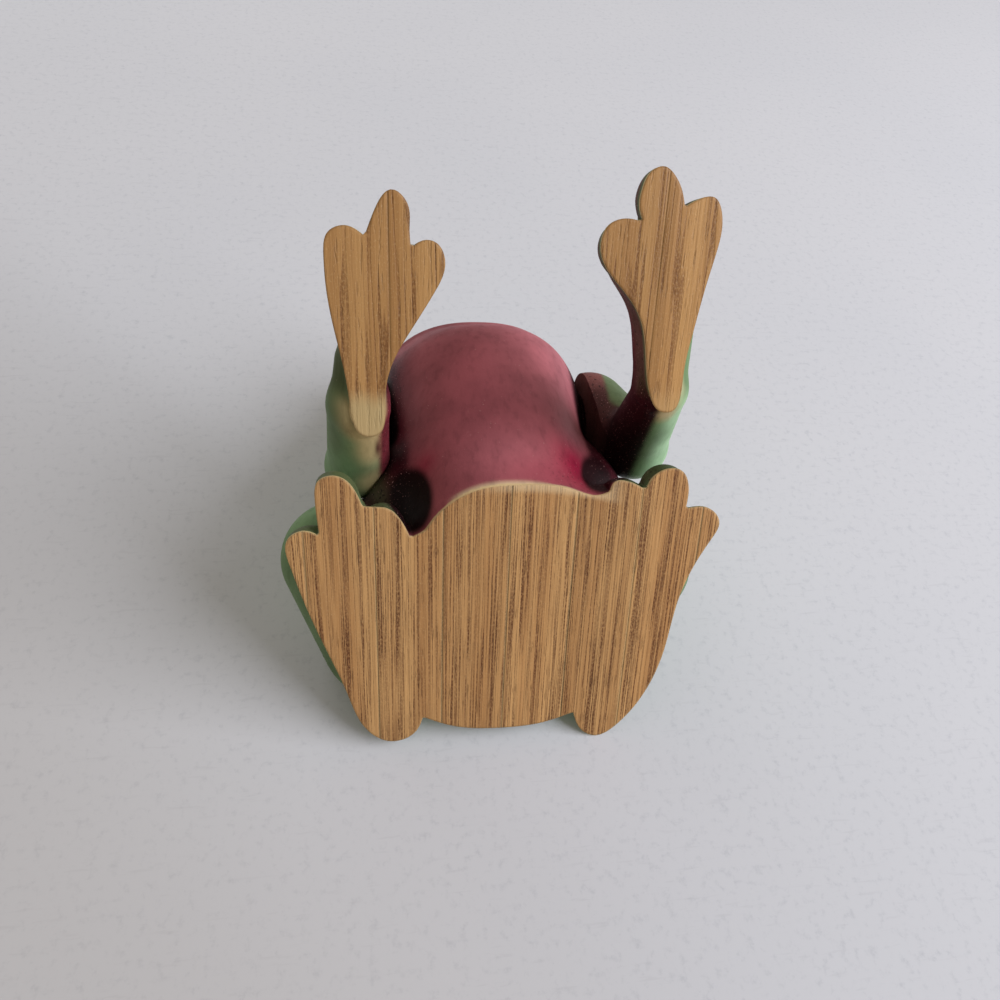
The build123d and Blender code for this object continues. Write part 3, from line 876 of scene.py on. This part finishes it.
def paint_body(points, normal):
    """Colours of the trunk, head, thighs and feet, painted light and shade among them, then how much they
    are speckled.
    """
    p = tuple(points.T)
    x, y, z = p
    ax = np.abs(x)
    line = z - mouth_height(x, y)
    limbs = np.minimum(limbs_distance(p, "right"), limbs_distance(p, "left"))
    on_trunk = step(2.2, 0.8, np.maximum(trunk_distance(p), 0))
    throat = y - section_at(z)[0] + 4.5 * step(26.0, 38.0, z)
    front = step(3.0, 0.5, throat) * step(0.35, -0.35, line) * on_trunk
    under_belly = step(6.5, 4.5, y) * step(14.5, 12.5, ax) * step(27.0, 21.0, z)
    low_front = step(7.5, 4.5, y) * step(24, 14, z) * step(1.0, 3.5, 20.5 - ax)
    belly = paint_belly(points)
    base = over(paint_back(points, normal), belly, front)
    base = over(base, belly, under_belly)
    # Painted shade: burgundy low on the front, between the belly and the thighs
    base = over(base, BURGUNDY, low_front * step(11.6, 13.2, ax) * step(0.5, 2.0, z))
    base = dab(base, points, RIGHT_HOLLOW)
    # Painted shade: burgundy on the body round the arms, and black where they meet it
    armpit_painted_shade = step(3.2, 1.0, limbs) * step(36, 30, z) * step(9.0, 5.0, y)
    base = over(base, BURGUNDY, 0.9 * armpit_painted_shade)
    base = over(base, BLACK, step(1.4, 0.4, limbs))

    facing_front = normal[:, 1]
    toe_tops = step(-0.2, -0.6, facing_front) * step(5.0, 3.0, z) * step(12.5, 14.0, ax)
    toe_walls = step(7.0, 3.0, z) * step(0.0, -0.5, facing_front) * step(13.0, 15.0, ax)
    base = over(base, MOSS_DARK, 0.95 * toe_tops)
    base = over(base, OLIVE, 0.9 * toe_tops * step(-16.5, -18.0, x))
    base = over(base, OLIVE, 0.65 * toe_walls)
    base = dab(base, points, RIGHT_TOE_WEB)
    hollow = step(0.26, 0.50, np.maximum(*(near(points, *blob) for blob in BLACK_HOLLOWS)))
    base = over(base, BLACK, hollow)
    base = over(base, CRIMSON, 0.03 * hollow * step(0.0, 4.0, x))
    # Painted shade in the crevice beside the right arm
    base = dab(base, points, RIGHT_ARM_CREVICE_SHADE)
    sole_edge = step(0.9, 0.2, z) * step(1.0, -0.5, y) * step(11.0, 8.0, ax)
    base = over(base, CREAM, 0.6 * sole_edge)

    base = over(base, BLACK, 0.75 * bump(line, 0.42) * step(4.0, 0.0, y))
    nostril = np.where(y < SNOUT_FRONT, 0.9 * bump(nostril_distance(ax, z), 0.6), 0)
    base = over(base, BLACK, nostril)
    for side in SIDES:
        mound, bead, aim = eye_centres(side)
        base = over(base, CREAM, step(0.5, 0.1, eye_rim(p, mound, aim)))
        base = over(base, BLACK, step(0.12, 0.02, ball(p, bead, SOCKET_RADIUS)))
    speckle = np.maximum(front * step(11.0, 13.5, ax), 0.7 * near(points, *BELLY_SPECKLE))
    speckle = np.maximum(speckle, low_front * step(12.0, 14.0, ax))
    return np.column_stack((base, speckle))


def paint_arm(side):
    """Returns the painter of one arm: green outside, and dark where it faces the body, with painted light
    and shade by the way each face turns.
    """
    sign = SIDES[side]
    lit = {"right": 0.35, "left": 0.9}[side]
    bare_outside = {"right": 0.0, "left": 0.85}[side]

    def paint(points, normal):
        p = tuple(points.T)
        x, y, z = p
        outward = sign * normal[:, 0]
        from_seat = sign * x - GLUE[side]
        # Painted light: outward faces are lighter, most on the left arm, which faces the lamp
        base = over(plain(points, GREEN), GREEN_PAINTED_LIT, lit * step(-0.2, 0.5, outward))
        if side == "left":
            base = dab(base, points, LEFT_WRIST_MOSS)
        elbow = step(13.0, 16.0, z) * step(20.0, 17.0, z) * step(-0.2, -0.6, normal[:, 1])
        base = over(base, OLIVE, 0.7 * elbow)
        beside_hand = step(2.8, 0.8, hand_field[side](p)) * step(-16.0, -12.5, y) * step(6.0, 3.5, z)
        base = over(base, SAND, 0.9 * beside_hand * (1 - bare_outside * step(0.15, 0.6, outward)))
        if side == "right":
            # Painted shade: olive on the right arm's faces that turn away from the lamp
            base = over(base, OLIVE, 0.55 * step(-0.1, -0.8, normal[:, 0]) * step(-1.0, -6.0, y))
            base = over(base, SAND, 0.90 * step(0.0, 0.9, near(points, *RIGHT_WRIST_SAND)))
            base = over(base, SAND, 0.80 * step(0.0, 1.0, near(points, *RIGHT_FOREARM_SAND)))
            base = dab(base, points, RIGHT_WRIST_CRACK)
            inner = step(-0.5, -0.8, outward) * step(2.2, 1.2, from_seat) * step(0.5, 2.0, z)
        else:
            base = dab(base, points, LEFT_WRIST_OLIVE)
            inner = step(-0.12, -0.36, outward) * step(0.2, 1.0, z)
            upper_arm = step(2.6, 1.9, from_seat + 0.12 * (22.0 - z)) * step(14.0, 17.0, z)
            inner = np.maximum(inner, upper_arm)
            base = over(base, OLIVE, 0.85 * step(14.0, 17.0, z) * step(0.1, -0.5, normal[:, 1]))
        inner = np.maximum(inner, step(1.2, 0.4, from_seat) * step(0.8, 2.0, z) * step(-32, -20, y))
        dark = over(plain(points, BURGUNDY), BLACK, step(14.0, 2.0, np.abs(y + 2.0)))
        dark = over(dark, CRIMSON, 0.22 * step(-12.0, -20.0, y))
        if side == "right":
            dark = over(dark, WINE, 0.75 * step(18.0, 12.0, z) * step(-14.0, -10.0, y))
        dark = over(dark, UMBER, 0.8 * step(12.0, 18.0, z))
        dark = over(dark, CLAY, 0.55 * step(20.0, 26.0, z))
        base = over(base, dark, inner)
        walls = step(5.0, 3.0, z) * step(-11.0, -14.0, y)
        base = over(base, GREEN, walls * (1 - inner))
        # Painted shade on the hand walls that face away from the lamp, and a painted highlight on the low
        # walls that face it
        base = over(base, OLIVE, walls * step(0.35, -0.35, normal[:, 0]) * (1 - 0.7 * inner))
        base = over(base, CREAM, 0.75 * walls * step(-0.1, 0.7, normal[:, 0]) * step(1.6, 0.6, z))
        return np.column_stack((base, inner))

    return paint


# Materials

DASH = srgb(84, 50, 28)
PORE = srgb(92, 60, 38)
GRIT = srgb(232, 200, 150)
GLUE_LINE = srgb(70, 40, 24)
WORN = srgb(222, 196, 156)
WRIST_WORN = srgb(204, 172, 122)
WORN_FRONT = 1.4
WORN_CURVE = 0.0105
SANDED_RADIUS = 0.45
GRAIN_DEPTH = 0.10
PAINT_DEPTH = 0.06
PORE_DEPTH = 0.05
SCRATCH_DEPTH = 0.004


class Shader:
    """Short calls for making the nodes of a material or of the world."""

    def __init__(self, owner, output="OutputMaterial"):
        owner.use_nodes = True
        self.owner = owner
        self.tree = owner.node_tree
        self.tree.nodes.clear()
        self.output = self.node(output)

    def node(self, kind, inputs=None, **values):
        made = self.tree.nodes.new("ShaderNode" + kind)
        for key, value in values.items():
            setattr(made, key, value)
        for key, value in (inputs or {}).items():
            if isinstance(value, bpy.types.NodeSocket):
                self.tree.links.new(value, made.inputs[key])
            else:
                made.inputs[key].default_value = value
        return made

    def math(self, operation, a, b=0.0):
        return self.node("Math", {0: a, 1: b}, operation=operation).outputs[0]

    def plus(self, a, b):
        return self.math("ADD", a, b)

    def minus(self, a, b):
        return self.math("SUBTRACT", a, b)

    def times(self, a, b):
        return self.math("MULTIPLY", a, b)

    def ramp(self, value, low, high):
        """0 at low and below, 1 at high and above, smooth between."""
        inputs = {"Value": value, "From Min": low, "From Max": high}
        return self.node("MapRange", inputs, interpolation_type="SMOOTHSTEP").outputs[0]

    def mix(self, amount, a, b, blend="MIX"):
        """A mix of two colours, each given as three values or as the output of a node."""
        a, b = (c if isinstance(c, bpy.types.NodeSocket) else (*c, 1) for c in (a, b))
        return self.node("Mix", {0: amount, 6: a, 7: b}, data_type="RGBA", blend_type=blend).outputs[2]

    def place(self, scale, shift=(0, 0, 0)):
        """Object coordinates in millimetres, stretched each way."""
        coordinates = self.node("TexCoord").outputs["Object"]
        scales = tuple(s / MM for s in scale)
        return self.node("Mapping", {"Vector": coordinates, "Scale": scales, "Location": shift}).outputs[0]

    def noise(self, scale, detail=3.0, roughness=0.55, shift=(0, 0, 0)):
        """Soft noise from 0 to 1, with a number of waves per millimetre each way."""
        inputs = {"Vector": self.place(scale, shift), "Scale": 1.0, "Detail": detail, "Roughness": roughness}
        return self.node("TexNoise", inputs).outputs["Fac"]

    def lines(self, value, middle, width, soft):
        """Thin lines where a noise passes a middle value."""
        return self.ramp(self.math("ABSOLUTE", self.minus(value, middle)), width, width * soft)

    def lay(self, colour, top, mask, share):
        """Lays a colour on top of another where a mask says, by a share."""
        return self.mix(self.times(mask, share), colour, top)

    def darken(self, colour, share):
        """A colour times a grey share."""
        grey = self.node("CombineColor", {0: share, 1: share, 2: share}).outputs[0]
        return self.mix(1.0, colour, grey, "MULTIPLY")

    def axis(self, letter):
        """One object coordinate, in metres."""
        coordinates = self.node("TexCoord").outputs["Object"]
        return self.node("SeparateXYZ", {0: coordinates}).outputs[letter]

    def finish(
        self, colour, roughness, height, depth, coat=0.0, coat_roughness=0.1, specular=0.5, under=None
    ):
        """Principled surface with a bump of a depth in metres, over another normal if one is given."""
        bumped = self.node("Bump", {"Height": height, "Strength": 1.0, "Distance": depth})
        if under:
            self.tree.links.new(under, bumped.inputs["Normal"])
        shader = self.node("BsdfPrincipled", {
            "Base Color": colour, "Roughness": roughness, "Normal": bumped.outputs[0],
            "Specular IOR Level": specular, "Coat Weight": coat, "Coat Roughness": coat_roughness,
        })
        return self.end(shader)

    def end(self, shader):
        """Ends the nodes in a shader and returns what they belong to."""
        self.tree.links.new(shader.outputs[0], self.output.inputs[0])
        return self.owner


def sole_details(s, tone, x, y, fine):
    """Dark glue lines between the strips, and the pale worn edge under the belly."""
    from_line = s.math("PINGPONG", s.plus(x, STRIP * MM * 8), STRIP * MM / 2)
    tone = s.lay(tone, GLUE_LINE, s.ramp(from_line, 0.12 * MM, 0.03 * MM), 0.6)
    edge = s.times(s.times(x, x), WORN_CURVE / MM)
    from_edge = s.plus(s.minus(s.plus(y, WORN_FRONT * MM), edge), s.times(fine, 0.5 * MM))
    across = s.times(s.ramp(x, -6.0 * MM, 2.0 * MM), s.ramp(x, 15.0 * MM, 11.0 * MM))
    worn = s.times(s.ramp(from_edge, 1.5 * MM, 0.4 * MM), across)
    return s.lay(tone, WORN, worn, 0.6)


def hand_details(s, tone, x, y, fine, fibres):
    """Paler, worn wood towards the wrists, most on the right hand."""
    wrist = s.ramp(s.plus(y, s.times(fine, 2.0 * MM)), -13.0 * MM, -9.5 * MM)
    tone = s.lay(tone, WRIST_WORN, wrist, 0.35)
    tip = s.ramp(s.plus(y, s.times(fibres, 5.0 * MM)), -11.0 * MM, -8.4 * MM)
    on_right = s.math("LESS_THAN", x, 0.0)
    return s.lay(tone, SAND, s.times(tip, on_right), 0.8)


def bamboo(name, on_body, light, middle, dark, rim, pitch, line_width, strength, roughness, shift):
    """Bare sanded bamboo: bands, fibre bundles along Y as lines and dashes, and a tone for each strip."""
    s = Shader(bpy.data.materials.new(name))
    x, y = s.axis("X"), s.axis("Y")
    bands = s.noise((0.30, 0.004, 0.05), detail=2.0, shift=shift)
    fibres = s.noise((1.0 / pitch, 0.010, 0.2), roughness=0.62, shift=shift)
    second = s.noise((1.7 / pitch, 0.014, 0.2), detail=2.0, roughness=0.5, shift=(shift[1], shift[0], 4.0))
    fine = s.noise((4.2, 0.10, 1.0), roughness=0.65)
    dashes = s.noise((4.0, 0.34, 1.0), detail=2.0, roughness=0.5)
    pores = s.noise((4.6, 2.2, 2.0), detail=2.0)
    grit = s.noise((6.0, 3.2, 3.0), detail=2.0, roughness=0.7)
    dotted = s.noise((5.0, 2.4, 2.0), detail=2.0, shift=(2.0, 6.0, 0.0))
    wander = s.ramp(s.noise((0.9, 0.05, 0.5), detail=2.0, shift=(5.0, 1.0, 2.0)), 0.36, 0.58)
    tone = s.mix(s.ramp(bands, 0.36, 0.62), middle, light)
    tone = s.lay(tone, dark, s.ramp(fine, 0.42, 0.66), 0.26 if on_body else 0.12)
    thin = s.lines(fibres, 0.5, line_width, 0.35)
    thin = s.times(thin, s.plus(s.times(s.ramp(dotted, 0.32, 0.60), 0.55), 0.45))
    thinner = s.lines(second, 0.52, line_width * 0.8, 0.25)
    tone = s.lay(tone, dark, thin, s.plus(s.times(wander, 0.50 * strength), 0.35 * strength))
    tone = s.lay(tone, dark, thinner, s.times(wander, 0.42 * strength))
    broken = s.times(s.ramp(dashes, 0.56, 0.68), wander)
    tone = s.lay(tone, DASH, broken, 0.34 * strength)
    tone = s.lay(tone, PORE, s.ramp(pores, 0.66, 0.76), 0.35)
    tone = s.lay(tone, GRIT, s.ramp(grit, 0.56, 0.72), 0.22)
    number = s.math("FLOOR", s.math("DIVIDE", x, STRIP * MM))
    strip = s.node("TexWhiteNoise", {"W": number}, noise_dimensions="1D").outputs[0]
    tone = s.darken(tone, s.plus(s.times(strip, 0.14), 0.93))
    if on_body:
        tone = sole_details(s, tone, x, y, fine)
    else:
        tone = hand_details(s, tone, x, y, fine, fibres)
    sanded = s.node("Bevel", {"Radius": SANDED_RADIUS * MM}, samples=6).outputs[0]
    flat = s.node("NewGeometry").outputs["Normal"]
    turned = s.node("VectorMath", {0: sanded, 1: flat}, operation="DOT_PRODUCT").outputs["Value"]
    tone = s.lay(tone, rim, s.ramp(turned, 0.995, 0.80), 0.5)
    height = s.minus(s.minus(s.times(fine, 0.5), s.times(broken, 0.4)), s.times(thin, 0.25))
    return s.finish(tone, roughness, height, GRAIN_DEPTH * MM, specular=0.3, under=sanded)


def painted(name):
    """Lacquered paint over carved bamboo: its colour from the carving, painted light and shade included,
    brushed and slightly worn.
    """
    s = Shader(bpy.data.materials.new(name))
    tint = s.node("Attribute", attribute_name="tint").outputs["Color"]
    speckle = s.node("Attribute", attribute_name="speckle").outputs["Fac"]
    cloud = s.noise((0.14, 0.10, 0.12))
    brush = s.noise((1.1, 0.16, 0.7), detail=4.0, roughness=0.6)
    grain = s.noise((3.4, 0.10, 2.4), roughness=0.6)
    dots = s.noise((2.6, 2.2, 2.4), detail=2.0, roughness=0.5)
    dust = s.noise((5.2, 5.2, 5.2), detail=2.0, roughness=0.5, shift=(3.0, 7.0, 1.0))
    shade = s.plus(s.times(s.ramp(cloud, 0.30, 0.72), 0.34), 0.84)
    colour = s.darken(tint, s.minus(shade, s.times(s.ramp(brush, 0.46, 0.74), 0.16)))
    colour = s.lay(colour, FLECK, s.ramp(dust, 0.66, 0.72), s.times(speckle, 0.55))
    colour = s.lay(colour, PIT, s.ramp(dots, 0.40, 0.34), s.times(speckle, 0.8))
    colour = s.lay(colour, DUST, s.ramp(dust, 0.745, 0.78), 0.6)
    from_sole = s.plus(s.axis("Z"), s.times(brush, 0.3 * MM))
    colour = s.lay(colour, BARE_EDGE, s.ramp(from_sole, 0.52 * MM, 0.30 * MM), 0.8)
    height = s.plus(s.times(grain, 0.35), s.times(brush, 0.4))
    rough = s.plus(s.times(brush, 0.25), 0.42)
    return s.finish(colour, rough, height, PAINT_DEPTH * MM, specular=0.14)


def bead_material():
    """Black glazed bead with a faint brown depth and a few fine scratches."""
    s = Shader(bpy.data.materials.new("eye_bead_glaze"))
    cloud = s.noise((0.5, 0.5, 0.5))
    scratch = s.noise((9.0, 0.6, 9.0), detail=2.0)
    colour = s.mix(s.ramp(cloud, 0.35, 0.7), srgb(14, 12, 12), srgb(40, 26, 18))
    rough = s.plus(s.times(s.ramp(scratch, 0.6, 0.7), 0.12), 0.08)
    return s.finish(colour, rough, scratch, SCRATCH_DEPTH * MM, coat=1.0, coat_roughness=0.03)


def dowel_material():
    """Pale turned wood, for the hidden dowels."""
    s = Shader(bpy.data.materials.new("dowel_beech"))
    grain = s.noise((0.12, 2.4, 2.4), detail=4.0)
    colour = s.mix(s.ramp(grain, 0.4, 0.62), srgb(206, 172, 128), srgb(168, 128, 86))
    return s.finish(colour, s.plus(s.times(grain, 0.2), 0.5), grain, PORE_DEPTH * MM)


paint_coat = painted("lacquered_paint")
bare_sole = bamboo(
    "bare_bamboo_body", True, light=srgb(206, 160, 106), middle=srgb(186, 138, 88),
    dark=srgb(98, 56, 32), rim=srgb(206, 176, 126), pitch=0.58, line_width=0.044, strength=1.10,
    roughness=0.55, shift=(3.1, 0.4, 0),
)
bare_hand = bamboo(
    "bare_bamboo_hand", False, light=srgb(192, 147, 94), middle=srgb(172, 127, 78),
    dark=srgb(104, 62, 32), rim=srgb(150, 112, 66), pitch=3.4, line_width=0.026, strength=0.80,
    roughness=0.40, shift=(8.7, 2.2, 0),
)

# The carving, strip by strip

body_points, body_quads = surface_net(body_distance, *BODY_BOX)
body_surface = settle(body_distance, body_points, body_quads), body_quads
STRIPS = (
    ("right_knee", "limb_bamboo"), ("right_haunch", "limb_bamboo"),
    ("right_flank", "trunk_bamboo"), ("right_core", "trunk_bamboo"),
    ("left_core", "trunk_bamboo"), ("left_flank", "trunk_bamboo"),
    ("left_haunch", "limb_bamboo"), ("left_knee", "limb_bamboo"),
)
for number, (strip_name, strip_slot) in enumerate(STRIPS):
    strip_side = (number - len(STRIPS) // 2) * STRIP
    glue_planes = (((strip_side, 0, 0), (-1, 0, 0)), ((strip_side + STRIP, 0, 0), (1, 0, 0)))
    materials = (paint_coat, bare_sole, bare_sole)
    carve(strip_name, body_distance, body_surface, glue_planes, paint_body, materials)

for side, sign in SIDES.items():
    seat = sign * GLUE[side]
    edges = sorted(seat + sign * distance for distance in ARM_SIDES)
    for layer, distance, (low, high), away in (
        ("_arm_outer", arm_distance, ARM_BOX, -sign), ("_arm_inner", hand_distance, HAND_BOX, sign),
    ):
        field = partial(distance, side=side)
        points, quads = surface_net(field, (edges[0], *low), (edges[1], *high))
        arm_surface = settle(field, points, quads), quads
        glue_plane = (((seat, 0, 0), (away, 0, 0)),)
        materials = (paint_coat, bare_hand, paint_coat)
        carve(side + layer, field, arm_surface, glue_plane, paint_arm(side), materials)

glaze = bead_material()
beech = dowel_material()
for side in SIDES:
    for node_name, material in ((side + "_eye", glaze), (side + "_shoulder_dowel", beech)):
        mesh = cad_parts[node_name].data
        mesh.materials.clear()
        mesh.materials.append(material)

# Stage, camera and lights

TURN_X, TURN_Y, TURN_Z = np.radians((22.7, -9.2, -1.5))
CAMERA_DISTANCE = 90.7
CAMERA_SHIFT = (1.48, -0.4, 0.0)
LAMP_AIM = (0, 0.003, 0.02)
PAPER = srgb(206, 207, 213)
PAPER_CLOUD = srgb(201, 203, 210)
PAPER_FIBRE = srgb(182, 183, 190)
PAPER_TOOTH = srgb(174, 177, 186)
PAPER_PAINTED_SHADE = srgb(162, 155, 148)
BACKDROP_NORMAL = np.array((0.0, 0.84, 0.54))
BACKDROP_OFFSET = 31.5
FLOOR_DROP = 0.05
SHEET_HALF_SIZE = 1.5
SKY_COLOUR = (1.04, 0.95, 0.82)
SKY_STRENGTH = 0.38


def rotation(axis, angle):
    """Rotation matrix about one axis."""
    return np.array(Matrix.Rotation(angle, 3, axis))


view_turn = rotation("Z", TURN_Z) @ rotation("Y", TURN_Y) @ rotation("X", TURN_X)
eye_place = -view_turn.T @ np.array((0, 0, CAMERA_DISTANCE)) - np.array(CAMERA_SHIFT)
image_right, image_up, towards = view_turn[0], -view_turn[1], -view_turn[2]
camera_data = bpy.data.cameras.new("camera")
camera_data.lens = 27.0
camera_data.sensor_width = 36.0
camera_data.clip_start = 0.001
camera = add_object("camera", camera_data)
frame_axes = Matrix(np.stack((image_right, image_up, towards), axis=1).tolist())
camera.matrix_world = Matrix.Translation(Vector((eye_place * MM).tolist())) @ frame_axes.to_4x4()
bpy.context.scene.camera = camera


def turn_to(made, direction):
    """Turns an object's own Z axis along a direction."""
    made.rotation_mode = "QUATERNION"
    made.rotation_quaternion = Vector(direction).to_track_quat("Z", "Y")


def lamp(name, direction, distance, size, power, colour, gloss):
    """A soft square lamp that faces the middle of the object, seen in gloss or not."""
    data = bpy.data.lights.new(name, "AREA")
    data.size = size
    data.energy = power
    data.color = colour
    direction = Vector(direction).normalized()
    made = add_object(name, data)
    made.location = Vector(LAMP_AIM) + direction * distance
    made.visible_glossy = gloss
    turn_to(made, direction)


key = 0.95 * image_right + 0.55 * towards + 0.16 * image_up
lamp("key", key.tolist(), 0.80, 0.62, 6.9, (0.97, 0.99, 1.05), True)
lamp("front_soft", (-0.5, -0.75, 0.75), 0.5, 0.4, 0.95, (1.0, 1.0, 1.0), False)
lamp("back_soft", (0.5, 0.8, 0.65), 0.5, 0.4, 0.75, (1.0, 1.0, 1.0), True)


def paper_material(name, shade):
    """Matt pale paper with faint fibres and tooth and painted shade towards one corner, seen from its front
    side only.
    """
    s = Shader(bpy.data.materials.new(name))
    cloud = s.noise((0.012, 0.012, 0.012), detail=2.0)
    fibre = s.noise((0.16, 1.3, 1.3))
    tooth = s.noise((0.75, 0.75, 0.75), detail=4.0, roughness=0.7)
    colour = s.lay(PAPER, PAPER_CLOUD, s.ramp(cloud, 0.3, 0.7), 0.5)
    colour = s.lay(colour, PAPER_FIBRE, s.ramp(fibre, 0.60, 0.72), 0.25)
    colour = s.lay(colour, PAPER_TOOTH, s.ramp(tooth, 0.50, 0.75), 0.45)
    # Painted shade: the paper darkens towards one corner, by the share given as shade
    across = s.plus(s.axis("X"), s.times(s.axis("Y"), 0.8))
    colour = s.lay(colour, PAPER_PAINTED_SHADE, s.ramp(across, 0.0, -0.09), shade)
    diffuse = s.node("BsdfDiffuse", {"Color": colour}).outputs[0]
    clear = s.node("BsdfTransparent").outputs[0]
    behind = s.node("NewGeometry").outputs["Backfacing"]
    return s.end(s.node("MixShader", {0: behind, 1: diffuse, 2: clear}))


def sheet(name, place, normal, shade):
    """A large flat sheet that faces along its normal."""
    mesh = bpy.data.meshes.new(name)
    square = ((-1, -1), (1, -1), (1, 1), (-1, 1))
    corners = [(a * SHEET_HALF_SIZE, b * SHEET_HALF_SIZE, 0) for a, b in square]
    mesh.from_pydata(corners, [], [(0, 1, 2, 3)])
    mesh.materials.append(paper_material(name + "_paper", shade))
    made = add_object(name, mesh)
    made.location = place
    turn_to(made, normal)
    made.visible_shadow = False
    made.visible_diffuse = False
    made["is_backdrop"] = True


backdrop_normal = BACKDROP_NORMAL / np.linalg.norm(BACKDROP_NORMAL)
# The backdrop takes painted shade towards one corner, the floor none
sheet("backdrop", (backdrop_normal * BACKDROP_OFFSET * MM).tolist(), (-backdrop_normal).tolist(), 0.4)
sheet("floor", (0, 0, -FLOOR_DROP * MM), (0, 0, 1), 0.0)

world = bpy.data.worlds.new("studio")
bpy.context.scene.world = world
sky = Shader(world, "OutputWorld")
sky_light = sky.node("Background", {"Color": (*SKY_COLOUR, 1), "Strength": SKY_STRENGTH}).outputs[0]
sky_seen = sky.node("Background", {"Color": (*PAPER, 1), "Strength": 1.0}).outputs[0]
from_camera = sky.node("LightPath").outputs["Is Camera Ray"]
sky.end(sky.node("MixShader", {0: from_camera, 1: sky_light, 2: sky_seen}))

bpy.context.scene.view_settings.view_transform = "Standard"

low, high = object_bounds()
